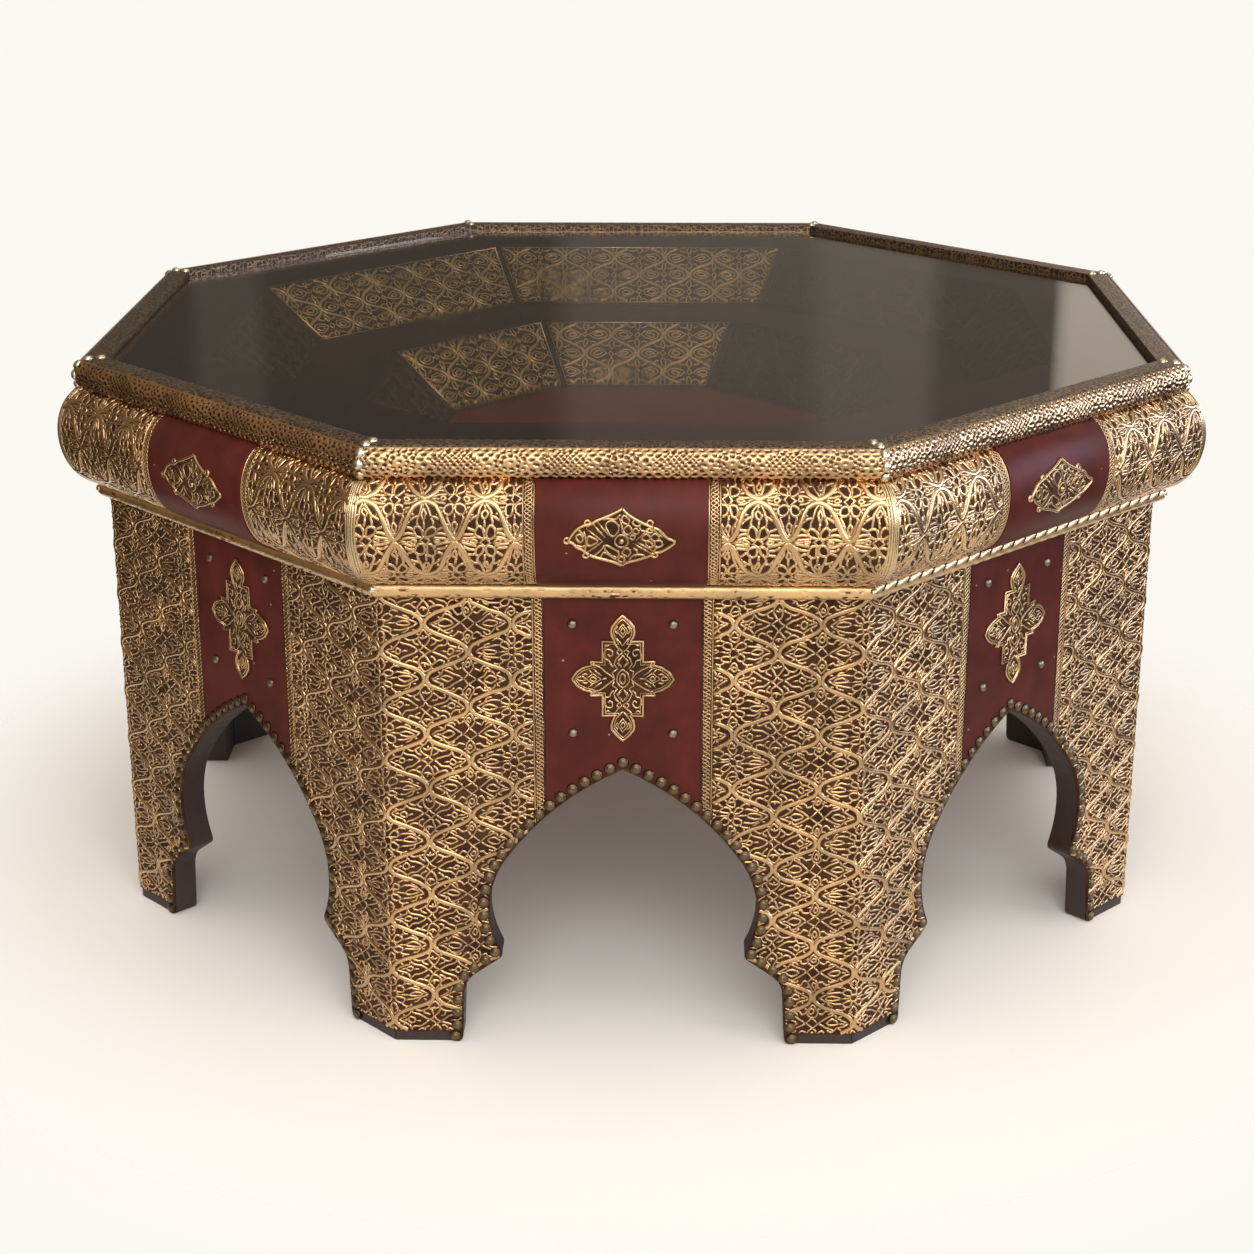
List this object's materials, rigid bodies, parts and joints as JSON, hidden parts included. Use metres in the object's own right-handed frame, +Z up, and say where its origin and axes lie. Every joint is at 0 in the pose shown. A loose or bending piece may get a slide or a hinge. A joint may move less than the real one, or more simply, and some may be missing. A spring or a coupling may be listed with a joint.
{
  "type": "octagonal coffee table",
  "caption": "Octagonal coffee table with arched brass-clad base, leather panels, bulging roll moulding and a glass lid over a stepped display well.",
  "frame": {"origin": "middle of the footprint, on the floor that the feet stand on", "axes": "+Z up along the table's axis of symmetry, -Y out of the front side"},
  "size_m": [0.984, 0.984, 0.51],
  "materials": {
    "base_wood": "dark stained, waxed",
    "leg_brass": "embossed, darkened ground",
    "panel_leather": "waxed oxblood",
    "medallion_brass": "cast and pierced",
    "roll_moulding": "clad in pierced brass",
    "band_leather": "waxed oxblood",
    "frame_moulding": "clad in fine embossed brass",
    "well_wood": "dark stained",
    "well_lining": "lined in embossed brass",
    "floor_leather": "waxed oxblood",
    "smoked_glass": "polished, smoked"
  },
  "bodies": {
    "table": {"side_board_1": "base_wood", "leg_sheath_1": "leg_brass", "leather_panel_1": "panel_leather", "panel_medallion_1": "medallion_brass", "roll_rail_1": "roll_moulding", "roll_band_1": "band_leather", "frame_rail_1": "frame_moulding", "side_board_2": "base_wood", "leg_sheath_2": "leg_brass", "leather_panel_2": "panel_leather", "panel_medallion_2": "medallion_brass", "roll_rail_2": "roll_moulding", "roll_band_2": "band_leather", "frame_rail_2": "frame_moulding", "side_board_3": "base_wood", "leg_sheath_3": "leg_brass", "leather_panel_3": "panel_leather", "panel_medallion_3": "medallion_brass", "roll_rail_3": "roll_moulding", "roll_band_3": "band_leather", "frame_rail_3": "frame_moulding", "side_board_4": "base_wood", "leg_sheath_4": "leg_brass", "leather_panel_4": "panel_leather", "panel_medallion_4": "medallion_brass", "roll_rail_4": "roll_moulding", "roll_band_4": "band_leather", "frame_rail_4": "frame_moulding", "side_board_5": "base_wood", "leg_sheath_5": "leg_brass", "leather_panel_5": "panel_leather", "panel_medallion_5": "medallion_brass", "roll_rail_5": "roll_moulding", "roll_band_5": "band_leather", "frame_rail_5": "frame_moulding", "side_board_6": "base_wood", "leg_sheath_6": "leg_brass", "leather_panel_6": "panel_leather", "panel_medallion_6": "medallion_brass", "roll_rail_6": "roll_moulding", "roll_band_6": "band_leather", "frame_rail_6": "frame_moulding", "side_board_7": "base_wood", "leg_sheath_7": "leg_brass", "leather_panel_7": "panel_leather", "panel_medallion_7": "medallion_brass", "roll_rail_7": "roll_moulding", "roll_band_7": "band_leather", "frame_rail_7": "frame_moulding", "side_board_8": "base_wood", "leg_sheath_8": "leg_brass", "leather_panel_8": "panel_leather", "panel_medallion_8": "medallion_brass", "roll_rail_8": "roll_moulding", "roll_band_8": "band_leather", "frame_rail_8": "frame_moulding", "well_upper_tray": "well_wood", "well_lower_tray": "well_lining", "well_floor": "floor_leather"},
    "glass": {"glass_top": "smoked_glass"}
  },
  "joints": [
    {"name": "glass_lift", "type": "slide", "parent": "table", "child": "glass", "axis": [0, 0, 1], "range_m": [0, 0.12]}
  ]
}
